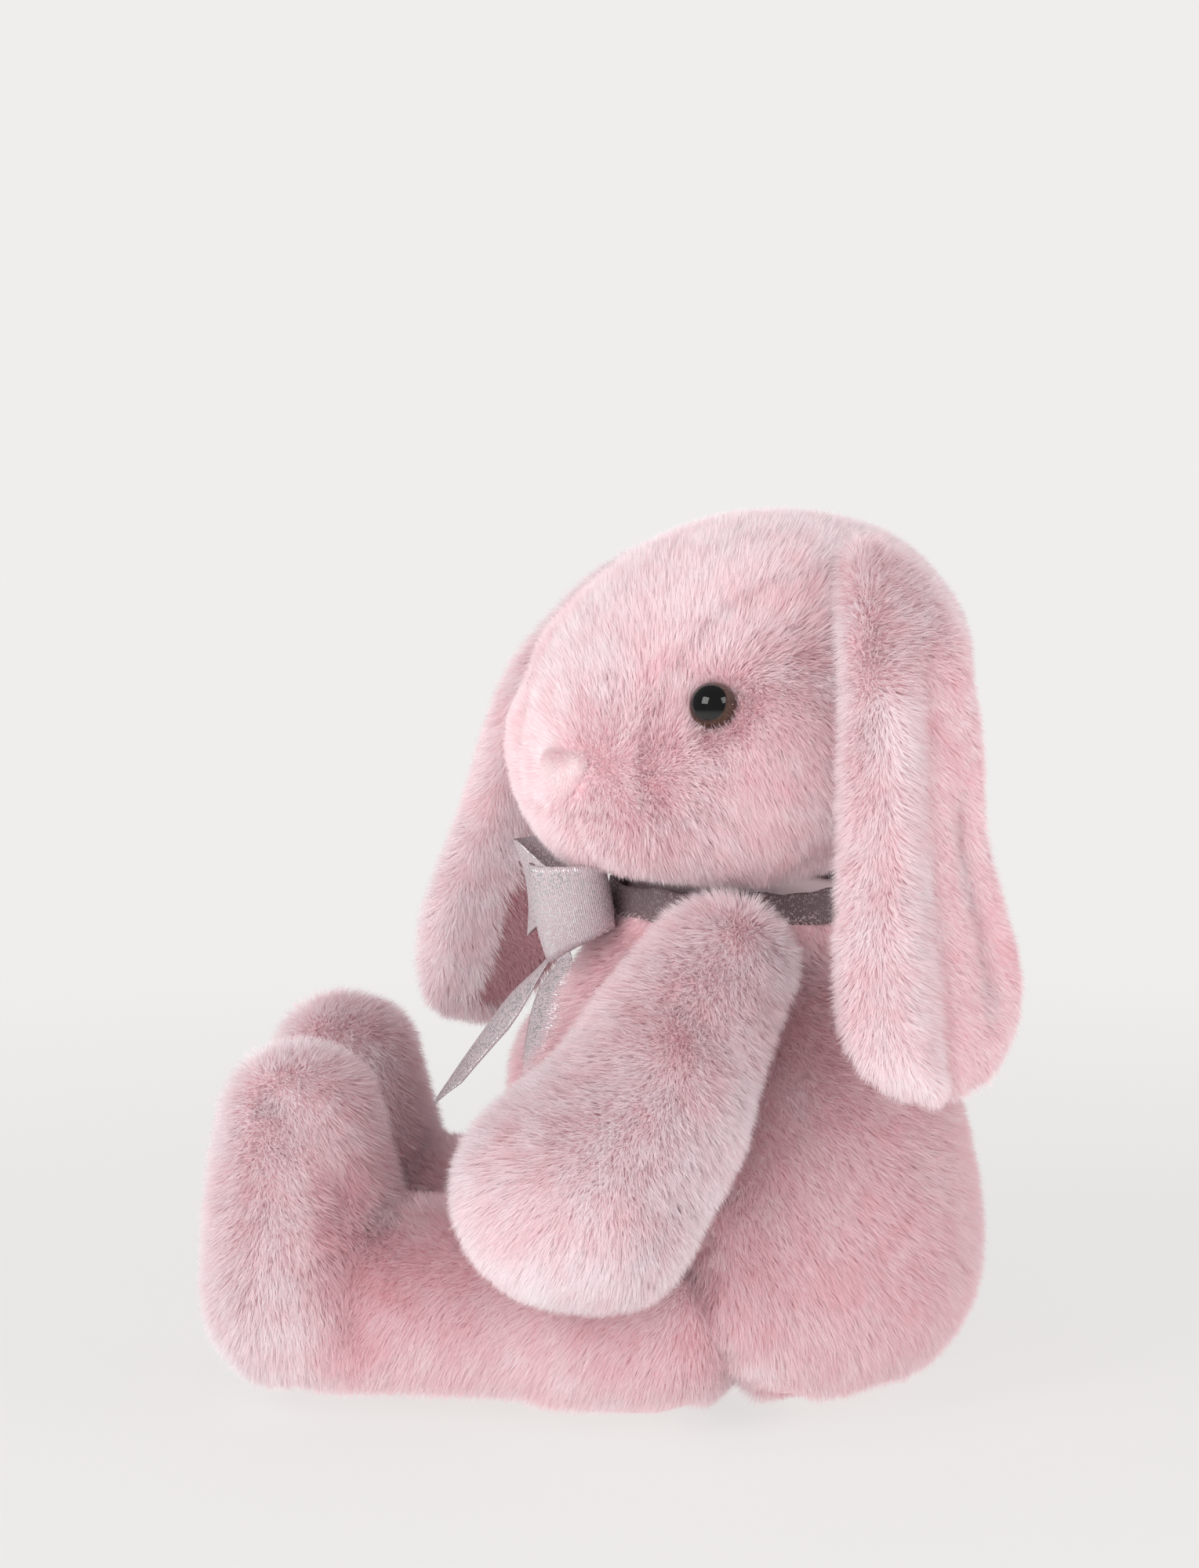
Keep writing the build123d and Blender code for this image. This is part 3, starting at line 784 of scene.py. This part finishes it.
# %% Arms
for side, sign, seed in (("left", 1, 31), ("right", -1, 32)):
    arm = soft_form(f"arm_skin_{side}", f"arm_stuffing_{side}", 4.2)
    spots = get_points(arm.data)
    middle = spots.mean(axis=0)
    down = np.linalg.svd(spots - middle, full_matrices=False)[2][0]
    down = down * -np.sign(down[2])
    rear = unit(np.array([0, -down[2], down[1]]))
    t, w = (spots - middle) @ down, (spots - middle) @ rear
    t = (t - t.min()) / (t.max() - t.min())
    w = np.clip(w / np.abs(w).max(), -1, 1)
    # t runs from 0 at the shoulder to 1 at the hand, w from the front edge to the rear one.
    front_edge = np.interp(t, (0, 0.1, 0.25, 0.35, 0.55, 0.75, 1), (-3, -6, -2.5, 0, 7, 7, 2.5))
    rear_edge = np.interp(t, (0, 0.2, 0.3, 0.45, 0.66, 0.85, 1), (0, 1.5, 4, 10, 10, 12, 6))
    outer = ease((spots[:, 0] - middle[0]) * sign / 10)
    plump = 6 * outer * ease((1 - np.abs(w)) / 0.9) * ease(t / 0.25) * ease((1 - t) / 0.45)
    spots = spots + rear * (front_edge + (rear_edge - front_edge) * (w + 1) / 2)[:, None]
    spots[:, 0] += sign * plump
    set_points(arm.data, spots)
    smoothed(arm.data, 3)
    spots, out = surface_of(arm)
    # The arm's pile tone is set lighter than the torso's: painted light that lifts the shade in its
    # pile.
    brush(arm, (0.25 * sign, -0.45, -1.0), 1.0, 0.80)
    arm_pile = plant(f"arm_pile_{side}", arm, pink_pile, 6.2, 7.8, seed=seed)
    ride(arm, f"arm_{side}", "pink_fur", f"arm_stuffing_{side}")
    ride(arm_pile, f"arm_{side}", "pink_fur", f"arm_shell_{side}")

# %% [markdown]
# ## Head
# The head is sewn from a strip over the top and two cheeks. The strip's pile is brushed
# smooth and back over the crown. The cheeks are brushed down and stand up more, and round
# the nose and the eyes the pile lies outward. Each panel has its own pile, and the seams
# between them show as faint partings.

# %% Where the eyes are
HEAD_TURN, HEAD_MIDDLE = 46.0, 227.5
EYE_RADIUS, EYE_STANDS_OUT = 7.5, {"left": 4.8, "right": 0.9}


def eye_seat(side):
    """The middle of an eye's dome and the way it looks, from its washer behind the fur."""
    ring = corners_of(f"eye_washer_{side}")
    middle = (ring.min(axis=0) + ring.max(axis=0)) / 2
    out = np.linalg.svd(ring - ring.mean(axis=0))[2][2]
    low, high = box_of("head_stuffing")
    out = out * np.sign(out @ (middle - (low + high) / 2))
    return middle + EYE_STANDS_OUT[side] * out, out


eyes = {side: eye_seat(side) for side in EYE_STANDS_OUT}
print({side: [round(float(x), 1) for x in seat[0]] for side, seat in eyes.items()})

# %% Head
head = soft_form("head_skin", "head_stuffing", 4.2)
spots, out = surface_of(head)
local = turned(spots, -HEAD_TURN)
# The strip runs from the nose to the nape and is widest between the ears. The cheeks
# begin below a line that falls from the nose to the nape.
strip_half = np.interp(local[:, 1], (-161, 2, 161), (10, 44, 16))
above = local[:, 2] - (202 - 0.28 * (local[:, 1] + 80))
seam = np.where(above > 0, np.abs(np.abs(local[:, 0]) - strip_half), 99)
chin = np.where((local[:, 1] < 0) & (above < 0), np.abs(local[:, 0]), 99)
spots = spots - out * (1.6 * bell(seam, 0, 3) + 2.0 * bell(chin, 0, 4))[:, None]
for place, look in eyes.values():
    near = length_of(spots - place)
    spots = spots - look * (1.5 * ease((16 - near) / 10))[:, None]
set_points(head.data, spots)
spots, out = surface_of(head)
local = turned(spots, -HEAD_TURN)
sideways = local[:, 0]
strip = ease((strip_half - np.abs(sideways)) / 30 + 0.5) * ease(above / 24 + 0.5)
muzzle = np.array([0, -78, 208])
from_nose = length_of((local - muzzle) * [1, 0.5, 1])
fan = turned(unit(local - muzzle + [0, 30, 0]), HEAD_TURN)
back_nap = turned(unit(columns(0.0, local[:, 2] - HEAD_MIDDLE, -local[:, 1])), HEAD_TURN)
down_nap = turned(columns(sideways * 0.003, 0.35, -1.0), HEAD_TURN)
sweep = ease((strip_half + 14 - np.abs(sideways)) / 60 + 0.5) * ease(above / 60 + 0.7)
nap = back_nap * sweep[:, None] + down_nap * (1 - sweep)[:, None]
close = ease(1.2 - from_nose / 60)[:, None]
nap = nap * (1 - close) + fan * close
pile = 0.62 + 0.38 * ease((from_nose - 14) / 42)
bare = np.ones(len(spots))
for side, (place, look) in eyes.items():
    near = length_of(spots - place)
    pile = pile * (1 if side == "right" else 0.85 + 0.15 * ease((near - 9) / 9))
    bare = bare * (near > (7.2 if side == "left" else 5.5))
    around = 0.35 * ease((17 - near) / 9)[:, None]
    nap = nap * (1 - around) + unit(spots - place) * around
patch = turned(corners_of("nose_patch"), -HEAD_TURN)
patch_low, patch_high = patch.min(axis=0), patch.max(axis=0)
patch_middle, patch_reach = (patch_low + patch_high) / 2, (patch_high - patch_low) / 2
from_patch = length_of((local - patch_middle)[:, [0, 2]] / (patch_reach[[0, 2]] * [0.8, 0.75]))
on_nose = (from_patch < 1) & (local[:, 1] < 0)
cover = np.where(spots[:, 2] < 171, 0.0, 1.0) * bare * ~on_nose
# The strip's pile is painted lighter than the cheeks': a painted sheen where the smooth pile lies flat.
brush(head, nap, pile, 0.55 + 0.16 * strip, cover, 1.0 - 0.2 * strip)
ride(head, "head", "pink_fur", "head_stuffing")
in_strip = (np.abs(sideways) < strip_half) & (above > 0)
left = sideways > 0
for name, node, panel in (
    ("head_pile_top", "head_gusset", in_strip),
    ("head_pile_left", "head_side_left", ~in_strip & left),
    ("head_pile_right", "head_side_right", ~in_strip & ~left),
):
    write(head.data, "cover", cover * panel)
    ride(plant(name, head, pink_pile, 6.2, 7.8, seed=41), "head", "pink_fur", node)

# %% [markdown]
# ## Eyes
# A plush toy's eye is a glossy moulded dome on a shank, locked behind the fur by a washer.
# The dome is turned like a bead, so its profile is an arc that is spun about the way it
# looks. It is black, with a dark brown ring that is painted wider on its upper side, as painted light
# where the lamp falls on it.


# %% Eyes
def ring_faces(start, count, rings):
    """The squares between rings of points, count points to a ring, from point start on."""
    faces, around = [], [(j, (j + 1) % count) for j in range(count)]
    for low in range(start, start + (rings - 1) * count, count):
        high = low + count
        faces += [(low + j, high + j, high + ahead, low + ahead) for j, ahead in around]
    return faces


def dome(name, place, look, radius):
    """A spun arc with the way from its pole kept as rim, more on its upper side: painted light that
    widens the brown ring there.
    """
    side = unit(np.cross(look, (0, 0, 1)))
    up = np.cross(side, look)
    turns, rings = 48, 20
    points, rim = [place + look * radius], [0.0]
    for k in range(1, rings + 1):
        a = k / rings * 1.75
        for j in range(turns):
            b = j / turns * math.tau
            flat = side * math.cos(b) + up * math.sin(b)
            points.append(place + (look * math.cos(a) + flat * math.sin(a)) * radius)
            # The rim grows on the upper side: painted light on the eye's brown ring.
            rim.append(math.sin(min(a, math.pi / 2)) * (1 + 0.08 * math.sin(b) - 0.05 * math.cos(b)))
    faces = [(0, 1 + j, 1 + (j + 1) % turns) for j in range(turns)] + ring_faces(1, turns, rings)
    faces.append([1 + (rings - 1) * turns + j for j in reversed(range(turns))])
    made = add_mesh(name, np.array(points) * MM, faces)
    write(made.data, "rim", np.array(rim))
    return made


for side, (place, look) in eyes.items():
    bead = dome(f"eye_dome_{side}", place, look, EYE_RADIUS)
    bead.data.materials.append(eye_gloss)
    ride(bead, "head", "eye_gloss", f"eye_{side}")
    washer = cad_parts[f"eye_washer_{side}"]
    washer.data.materials.clear()
    washer.data.materials.append(washer_plastic)

# %% [markdown]
# ## Nose
# The nose is a patch of short velour, a rounded triangle sewn flat on the muzzle. Its outline
# is laid on the muzzle point by point and plumped towards its middle, and a very short dense
# pile covers it.

# %% Nose
half, _, tall = patch_reach
corners = [(-0.80, 0.95), (0, 1.0), (0.80, 0.95), (0.98, 0.45)]
corners += [(0.50, -0.55), (0, -1.0), (-0.50, -0.55), (-0.98, 0.45)]
shape = round_curve([(x * half, z * tall) for x, z in corners], 6)
skin_faces = [tuple(face.vertices) for face in head.data.polygons]
ground = BVHTree.FromPolygons([tuple(p) for p in turned(get_points(head.data), -HEAD_TURN)], skin_faces)
points, rings = [], 9
for k in range(rings + 1):
    share = k / rings
    for x, z in shape * (1 - share):
        spot, out, _, _ = ground.ray_cast(Vector((x, -200, patch_middle[2] + z)), Vector((0, 1, 0)))
        raised = -1.5 + 6.8 * math.sqrt(1 - (1 - share) ** 2.5)
        points.append(np.array(spot) + np.array(out) * raised)
faces = ring_faces(0, len(shape), rings + 1)
nose = add_mesh("nose_patch_cloth", turned(np.array(points), HEAD_TURN) * MM, faces)
mended(nose.data, cap=True)
smoothed(nose.data, 3)
nose.data.materials.append(nose_cloth)
spots, out = surface_of(nose)
facing = turned(np.array([[0.0, -1.0, 0.0]]), HEAD_TURN)[0]
front = ease((out @ facing - 0.1) / 0.3)
brush(nose, (0, 0, -1.0), 1.0, 0.5, front, 1.0)
short = dict(width=0.3, lift=1.2, swirl=0.5, ruffle=0.3)
velour = plant("nose_velour_pile", nose, nose_pile, 26.0, 1.3, seed=51, **short)
print("nose", round(half * 2), "by", round(tall * 2), "mm")
ride(nose, "head", "nose_velour", "nose_patch")
ride(velour, "head", "nose_velour", "nose_patch")

# %% [markdown]
# ## Ears
# An ear is a long flat bag of plush, sewn into the seam at the crown. It drapes over the side
# of the head and hangs free below. Its front edge rolls over, and a slack fold runs down it.
# The outline is drawn flat, in millimetres across and down from the root, filled up like a
# pillow, then bent over the head. The side towards the body is lined with short velvet.


# %% Helpers for ears
def pillow(name, outline, spine, thick, rings=10, square=3.5):
    """A closed cushion from a flat outline in (y, z), thick millimetres each way from its middle."""
    a, b = (np.asarray(p, float) for p in spine)
    t = np.clip((outline - a) @ (b - a) / ((b - a) @ (b - a)), 0, 1)
    core = a + t[:, None] * (b - a)
    points, faces = [], []
    for sign in (1, -1):
        for a, b, c, d in ring_faces(len(points), len(outline), rings + 1):
            faces.append((a, d, c, b) if sign == 1 else (b, c, d, a))
        for k in range(rings + 1):
            share = k / rings
            plump = thick * math.sqrt(1 - (1 - min(1.0, share / 0.6)) ** 2)
            flat = outline * (1 - share) + core * share
            points += [(sign * plump, y, z) for y, z in flat]
    form = add_mesh(name, np.array(points) * MM, faces)
    mended(form.data)
    form = in_squares(form, name, square)
    smoothed(form.data, 4)
    shade_smooth(form.data)
    return form


def shrunk(outline, inset):
    """The outline drawn in by inset."""
    ahead = unit(np.roll(outline, -1, axis=0) - np.roll(outline, 1, axis=0))
    inward = columns(ahead[:, 1], -ahead[:, 0])
    middle = outline.mean(axis=0)
    inward *= np.sign(np.sum(inward * (middle - outline), axis=1).mean())
    return outline + inward * inset


# %% Ears
EAR = {
    "left": dict(
        sign=1, back=-4, height=266, splay=9.5, forward=0, seed=61,
        outline=[(-19, 20), (-24.5, 0), (-29, -32), (-35, -70), (-41, -108), (-41.5, -130),
                 (-33, -146), (-12, -156), (12, -154), (27, -142), (35.5, -121), (29.5, -90),
                 (26, -70), (28.5, -45), (26, -18), (15, 5), (-3, 19)],
    ),
    "right": dict(
        sign=-1, back=8, height=257, splay=14, forward=8, seed=62,
        outline=[(-22, 14), (-26, -14), (-33.5, -40), (-36, -80), (-40, -107), (-40, -128),
                 (-33, -149), (-18, -157), (0, -157), (13, -146), (24, -125), (28, -90),
                 (26, -50), (24, -15), (10, 12), (-8, 20)],
    ),
}
HEAD_WIDE, HEAD_TALL, EAR_OUT = 80.5, 65.0, 86.0


def place_ear(points, ear, lean=True):
    """From the ear's own frame, hung at its root, to the rabbit's."""
    f, s = math.radians(ear["forward"]), math.radians(ear["splay"])
    splay = np.array([[math.cos(s), 0, -math.sin(s)], [0, 1, 0], [math.sin(s), 0, math.cos(s)]])
    swing = np.array([[1, 0, 0], [0, math.cos(f), math.sin(f)], [0, -math.sin(f), math.cos(f)]])
    p = points @ (swing @ splay).T + [EAR_OUT, ear["back"], ear["height"]]
    if lean:
        up = np.clip((p[:, 2] - HEAD_MIDDLE) / HEAD_TALL, 0, 0.97)
        inward = np.maximum(0, EAR_OUT - 7 - HEAD_WIDE * np.sqrt(1 - up**2))
        p[:, 0] -= inward
        p[:, 1] += 0.73 * inward
    p[:, 0] *= ear["sign"]
    return turned(p, HEAD_TURN)


for side, ear in EAR.items():
    rim = shrunk(round_curve(ear["outline"]), 5.0)
    ear_form = pillow(f"ear_skin_{side}", rim, [(0, 0), (-3, -118)], 8.0)
    flat = get_points(ear_form.data)
    order = np.argsort(rim[:, 1])
    edges = []  # where the front and the rear edge run, at each point's height
    for half in (rim[:, 0] < -2, rim[:, 0] >= -2):
        pick = [i for i in order if half[i]]
        edges.append(np.interp(flat[:, 2], rim[pick, 1], rim[pick, 0]))
    v = (flat[:, 1] - edges[0]) / np.maximum(edges[1] - edges[0], 1)
    down = ease((-flat[:, 2] - 10) / 30)
    hollow = ease((-flat[:, 2] - 45) / 25) * ease((flat[:, 2] + 138) / 22)
    fold = 4.0 * bell(v, 0.17, 0.12) * down - 5.5 * bell(v, 0.76, 0.09) * hollow
    fold -= 1.6 * bell(v, 0.42, 0.1) * down
    outer = ease(flat[:, 0] / 4 + 0.5)
    flat[:, 0] += fold * (0.35 + 0.65 * outer)
    set_points(ear_form.data, place_ear(flat, ear))
    if ear["sign"] < 0:
        ear_form.data.flip_normals()
    smoothed(ear_form.data, 1)
    out = get_normals(ear_form.data)
    velvet = (1 - outer) * ease((v - 0.30) / 0.05) * ease((0.97 - v) / 0.05)
    velvet = velvet * ease((-flat[:, 2] - 8) / 8) * ease((flat[:, 2] + 150) / 6)
    ear_form.data.materials.append(backing)
    ear_form.data.materials.append(lining_cloth)
    corner = [np.mean([velvet[i] for i in face.vertices]) > 0.5 for face in ear_form.data.polygons]
    ear_form.data.polygons.foreach_set("material_index", np.array(corner, np.int32))
    ear_form.data.update()
    marks = place_ear(np.array([[0, 0, 0], [0, 0.12, -1.0], [0, 1.0, 0]]), ear, False)
    down_way, back_way = marks[1] - marks[0], marks[2] - marks[0]
    fan = np.interp(v, (-0.08, 0.17, 0.42, 0.85), (-1, 0, 1, 0.5)) * ease((-flat[:, 2] - 15) / 50)
    nap = down_way + back_way * (0.45 * fan)[:, None]
    smooth_and_shaded_part = ease((v - 0.34) / 0.12) * outer * ease((-flat[:, 2] - 5) / 20)
    # The smooth rear of the ear gets a shorter, flatter pile, and its tone is painted darker: painted
    # shade on the side away from the lamps.
    pile, tone, lift = 1.0 - 0.35 * smooth_and_shaded_part, 0.74 - 0.25 * smooth_and_shaded_part, 1.0 - 0.55 * smooth_and_shaded_part
    brush(ear_form, nap, pile, tone, 1 - (velvet > 0.5), lift)
    ear_pile = plant(f"ear_pile_{side}", ear_form, pink_pile, 6.2, 7.6, seed=ear["seed"])
    write(ear_form.data, "cover", 1.0 * (velvet > 0.5))
    write(ear_form.data, "pile", 1.0)
    short = dict(width=0.5, lift=1.0, swirl=0.3, ruffle=0.3)
    velvet_name, seed = f"ear_velvet_{side}", ear["seed"]
    velvet_pile = plant(velvet_name, ear_form, lining_pile, 6.0, 2.6, seed=seed, **short)
    ride(ear_form, f"ear_{side}", "pink_fur", f"ear_outer_{side}")
    ride(ear_pile, f"ear_{side}", "pink_fur", f"ear_outer_{side}")
    ride(velvet_pile, f"ear_{side}", "ear_lining", f"ear_lining_{side}")

# %% [markdown]
# ## Ribbon and bow
# The ribbon is one flat strip of glitter weave, gathered narrow round the neck and tied in
# front. Each piece is a strip of cloth along a path: a width at each step, and a curl that
# bends it across. The loops stand open because the weave is stiff, and their far ends are
# drawn in on the slant. The tails hang free.


# %% Ribbon helper
def strip_of(name, middle, across, width, curl, closed=False, weave_finish=glitter):
    """A strip whose middle line, sideways direction, width and curl are given at each step."""
    steps_across, thick = 12, 0.35
    middle, across = np.asarray(middle, float), unit(np.asarray(across, float))
    if closed:
        along = unit(np.roll(middle, -1, axis=0) - np.roll(middle, 1, axis=0))
    else:
        along = unit(np.gradient(middle, axis=0))
    out = unit(np.cross(along, across))
    across = unit(np.cross(out, along))
    length = np.concatenate([[0], np.cumsum(length_of(np.diff(middle, axis=0)))])
    count, points, weave = len(middle), [], []
    for i in range(count):
        for j in range(steps_across + 1):
            s = (j / steps_across - 0.5) * width[i]
            bend = curl[i] if abs(curl[i]) > 1e-4 else 1e-4
            angle = s * bend
            spot = middle[i] + across[i] * math.sin(angle) / bend
            points.append(spot + out[i] * (math.cos(angle) - 1) / bend)
            weave.append((length[i] * MM, s * MM))
    faces, n = [], steps_across + 1
    for i in range(count if closed else count - 1):
        k = (i + 1) % count
        faces += [(i * n + j, k * n + j, k * n + j + 1, i * n + j + 1) for j in range(steps_across)]
    made = add_mesh(name, np.array(points) * MM, faces)
    layer = made.data.uv_layers.new(name="weave")
    for loop in made.data.loops:
        layer.data[loop.index].uv = weave[loop.vertex_index]
    thicken = made.modifiers.new("cloth", "SOLIDIFY")
    thicken.thickness, thicken.offset = thick * MM, 0
    made = plain_mesh(made, name)
    made.data.materials.append(weave_finish)
    return made, float(length[-1])


def hang(strip, node, wide, long, held, **more):
    """Rides a strip on the torso and prints its length; its width, hold and other notes are not used.
    """
    ride(strip, "torso", "glitter_ribbon", node)
    print(node, round(long), "mm long")


# %% Neck band
BAND_STEPS, BAND_WIDE = 160, band_high[2] - band_low[2]
turn = np.arange(BAND_STEPS) / BAND_STEPS * math.tau
wave = 0.5 * np.sin(turn * 9) + 0.3 * np.sin(turn * 23 + 1)
radius, level = BAND_RADIUS + 0.3 * wave, (band_low[2] + band_high[2]) / 2 + 0.5 * wave
ring = columns(radius * np.cos(turn), radius * np.sin(turn), level)
up, curl = (0, 0, 1), 0.06 + 0.05 * np.sin(turn * 14)
# The band wears the ribbon finish with painted shade.
width, weave = BAND_WIDE + wave, shaded_band_glitter
band, _ = strip_of("neck_band", ring, up, width, curl, closed=True, weave_finish=weave)
hang(band, "neck_ribbon", BAND_WIDE, math.tau * BAND_RADIUS, "gathered", rests_on=["torso_skin"])

# %% Knot and loops
low, high = box_of("bow_knot")
knot_middle = (low + high) / 2
KNOT_STEPS, KNOT_WIDE = 48, 12.5
turn = np.arange(KNOT_STEPS) / KNOT_STEPS * math.tau
wrap = knot_middle + columns(0.0, 6.2 * np.cos(turn), 6.6 * np.sin(turn))
width, curl = KNOT_WIDE + 0.6 * np.sin(turn * 5), 0.05 + 0.05 * np.sin(turn * 3)
knot, round_knot = strip_of("bow_knot_wrap", wrap, (1, 0, 0), width, curl, closed=True)
hang(knot, "bow_knot", KNOT_WIDE, round_knot, "folded", rests_on=["torso_skin"])

LOOP_STEPS, LOOP_LONG, LOOP_FULL, LOOP_WIDE = 60, 38.0, 12.5, 34.0
for side, sign, yaw in (("left", 1, -7), ("right", -1, 22)):
    u = np.linspace(0.03, 0.97, LOOP_STEPS)
    reach = LOOP_LONG * np.sin(math.pi * u) ** 0.85
    fullness = -LOOP_FULL * np.sin(math.tau * u)
    c, s = math.cos(math.radians(yaw)), math.sin(math.radians(yaw))
    x = knot_middle[0] + sign * (3.5 + reach * c + fullness * s)
    y = knot_middle[1] - reach * s + fullness * c
    open_up = ease(np.sin(math.pi * u) * 1.25)
    slant = 0.72 * ease((u - 0.22) / 0.5) * open_up
    width = 9 + (LOOP_WIDE * (1 - 0.5 * slant) - 9) * open_up
    z = knot_middle[2] + 5.0 + 0.25 * LOOP_WIDE * slant
    tilt = columns(sign * 0.10 * open_up, -0.16 * open_up, 1.0)
    curl = 0.012 + 0.03 * (1 - open_up)
    loop, long = strip_of(f"bow_loop_cloth_{side}", columns(x, y, z), tilt, width, curl)
    area = float(width.mean()) * long * MM * MM
    hang(loop, f"bow_loop_{side}", LOOP_WIDE, long, "folded", area=area, rests_on=["bow_knot_wrap"])

# %% [markdown]
# Each tail leaves the knot narrow, opens as it falls and twists, so that it shows its broad
# face and then its edge. The ends are cut on the slant.

# %% Tails
TAIL_STEPS, TAIL_WIDE = 50, 15.0
for side, sign, reach, lean, spin, drift, slack in (
    ("left", 1, 48, 12, 75, 24, -0.3),
    ("right", -1, 76, 38, -48, 0, 1),
):
    u = np.linspace(0, 1, TAIL_STEPS)
    sag = 7 * np.sin(math.pi * u) * slack
    f = math.radians(lean)
    top = knot_middle + [sign * 3.4, -3.5, -6.0]
    ahead, fall = -reach * u * math.sin(f), -reach * u * math.cos(f) - sag * 0.4
    line = top + columns(drift * ease(u * 1.3), ahead, fall)
    line[:, 1] -= sag * 0.5
    angle = np.radians(spin * ease(u * 2.5) * sign - 25 * u)
    across = columns(np.cos(angle), np.sin(angle), 0.0)
    width = np.interp(u, (0, 0.15, 0.45, 0.8, 1), (7, 10, TAIL_WIDE, 12, 1.5))
    tail, long = strip_of(f"bow_tail_cloth_{side}", line, across, width, 0.05 + 0.05 * u)
    area = float(width.mean()) * long * MM * MM
    hang(tail, f"bow_tail_{side}", TAIL_WIDE, long, "hung", area=area, rests_on=["bow_knot_wrap"])

# %% [markdown]
# ## Last steps
# The strand shape isn't part of the rabbit, so it goes.

# %% Tidy up, measure and finish
bpy.data.objects.remove(plush_strand)
print("strands", strand_total)
